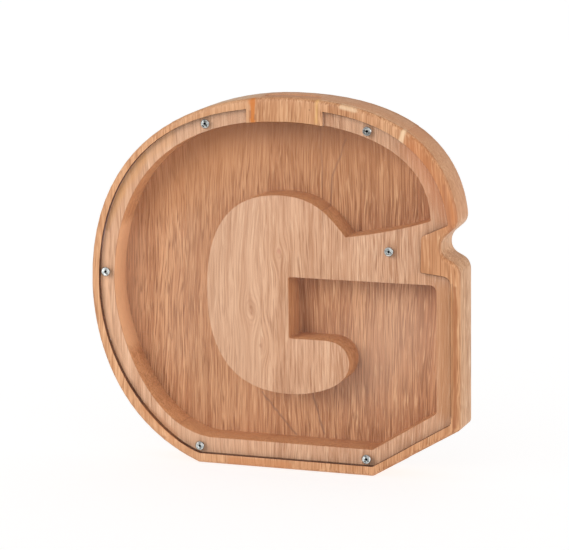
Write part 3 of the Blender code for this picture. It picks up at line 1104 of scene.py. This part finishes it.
@dataclass
class Body:
    """The glued-up wooden letter."""

    boards: dict[int, WoodFinish] = field(default_factory=lambda: dict(BOARDS))
    marks: tuple[Mark, ...] = MARKS

    def build(self) -> list[bpy.types.Object]:
        """Make every stave with the marks that fall on it.

        Returns:
            The five finished boards.
        """
        made = []
        for number, finish in self.boards.items():
            low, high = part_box(f"stave_{number}")
            own = tuple(mark for mark in self.marks if mark.spans(low.x, high.x))
            made.append(Stave(number, replace(finish, marks=own)).build())
        return made


@dataclass
class Stage:
    """The pale table, the soft light and the camera."""

    focal_length: float = 183.8
    azimuth: float = math.radians(19.84)
    elevation: float = math.radians(11.54)
    roll: float = math.radians(-0.77)
    eye: Colour = (0.5241, -1.4432, 0.4185)
    table_side: float = 16.0
    table_albedo: Colour = (0.45, 0.45, 0.45)
    table_glow: float = 0.76
    sky_strength: float = 0.55
    key_strength: float = 1.80
    key_from: Colour = (-0.54, -1.0, 0.56)
    key_spread: float = math.radians(38)
    fill_strength: float = 1.45
    fill_from: Colour = (1.0, -0.24, 0.16)
    fill_spread: float = math.radians(30)

    def build(self, lit: list[bpy.types.Object]) -> None:
        """Make the table, the lights and the camera.

        Args:
            lit: the pieces that the lamps fall on.
        """
        self._table()
        self._sky()
        self._sun("key", lit, self.key_strength, self.key_from, self.key_spread)
        self._sun("fill", lit, self.fill_strength, self.fill_from, self.fill_spread)
        self._camera()

    def _table(self) -> None:
        """A plain pale table top."""
        mesh = bpy.data.meshes.new("table")
        shape = bmesh.new()
        bmesh.ops.create_grid(shape, x_segments=8, y_segments=8, size=self.table_side / 2)
        shape.to_mesh(mesh)
        shape.free()
        sheet = Sheet("pale_table")
        values = {
            "Base Color": self.table_albedo,
            "Roughness": 0.9,
            "Specular IOR Level": 0.0,
            "Emission Color": (1.0, 1.0, 1.0),
            "Emission Strength": self.table_glow,
        }
        mesh.materials.append(sheet.finish(sheet.add("ShaderNodeBsdfPrincipled", values=values)))
        table = bpy.data.objects.new("table", mesh)
        bpy.context.scene.collection.objects.link(table)

    def _sky(self) -> None:
        """An even white surround."""
        world = bpy.data.worlds.new("studio")
        world.use_nodes = True
        background = world.node_tree.nodes["Background"]
        background.inputs["Color"].default_value = (1.0, 1.0, 1.0, 1.0)
        background.inputs["Strength"].default_value = self.sky_strength
        bpy.context.scene.world = world

    @staticmethod
    def _sun(
        name: str, lit: list[bpy.types.Object], strength: float, source: Colour, spread: float
    ) -> None:
        """A soft lamp that falls on the money box alone.

        Args:
            name: the lamp's name.
            lit: the pieces that it falls on.
            strength: how bright it is.
            source: the direction that it comes from.
            spread: the angle that it fills, as seen from the box.
        """
        light = bpy.data.lights.new(name, "SUN")
        light.energy = strength
        light.angle = spread
        lamp = bpy.data.objects.new(name, light)
        bpy.context.scene.collection.objects.link(lamp)
        lamp.rotation_euler = Vector(source).to_track_quat("Z", "Y").to_euler()
        receivers = bpy.data.collections.new(f"lit_by_{name}")
        for piece in lit:
            receivers.objects.link(piece)
        lamp.light_linking.receiver_collection = receivers

    def _camera(self) -> None:
        """A long lens from the right and a little above."""
        turn, tilt = self.azimuth, self.elevation
        right = Vector((math.cos(turn), math.sin(turn), 0.0))
        ahead = Vector((-math.sin(turn) * math.cos(tilt), math.cos(turn) * math.cos(tilt), -math.sin(tilt)))
        up = right.cross(ahead)
        side = right * math.cos(self.roll) + up * math.sin(self.roll)
        top = up * math.cos(self.roll) - right * math.sin(self.roll)
        lens = bpy.data.cameras.new("camera")
        lens.lens = self.focal_length
        lens.sensor_width = 36.0
        lens.clip_end = 50.0
        camera = bpy.data.objects.new("camera", lens)
        bpy.context.scene.collection.objects.link(camera)
        turned = Matrix((side, top, -ahead)).transposed().to_4x4()
        camera.matrix_world = Matrix.Translation(Vector(self.eye)) @ turned
        bpy.context.scene.camera = camera


def main() -> None:
    """Build every piece, then the stage."""
    logging.basicConfig(level=logging.INFO, format="%(name)s: %(message)s")
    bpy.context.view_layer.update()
    pieces = Body().build()
    pieces.append(Cover().build())
    tree = screw_tree()
    steel = SteelFinish().material("plated_steel")
    darker_finish = DARKER_STEEL.material("darker_steel")
    for number, turn in enumerate(SCREW_TURNS, 1):
        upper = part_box(f"screw_{number}")[0].z > DARKER_ABOVE
        pieces.append(Screw(number, turn, tree, darker_finish if upper else steel).build())
    for piece in pieces:
        LOG.info("%s: %d faces", piece.name, len(piece.data.polygons))
    Stage().build(pieces)
    bpy.context.scene.view_settings.view_transform = "Standard"


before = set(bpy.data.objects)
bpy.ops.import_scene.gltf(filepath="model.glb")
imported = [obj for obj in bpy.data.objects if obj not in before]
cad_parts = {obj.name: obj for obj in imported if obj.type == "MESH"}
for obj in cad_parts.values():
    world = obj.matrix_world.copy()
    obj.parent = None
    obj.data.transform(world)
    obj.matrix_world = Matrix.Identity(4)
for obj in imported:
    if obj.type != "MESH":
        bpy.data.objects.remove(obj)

if __name__ == "__main__":
    main()
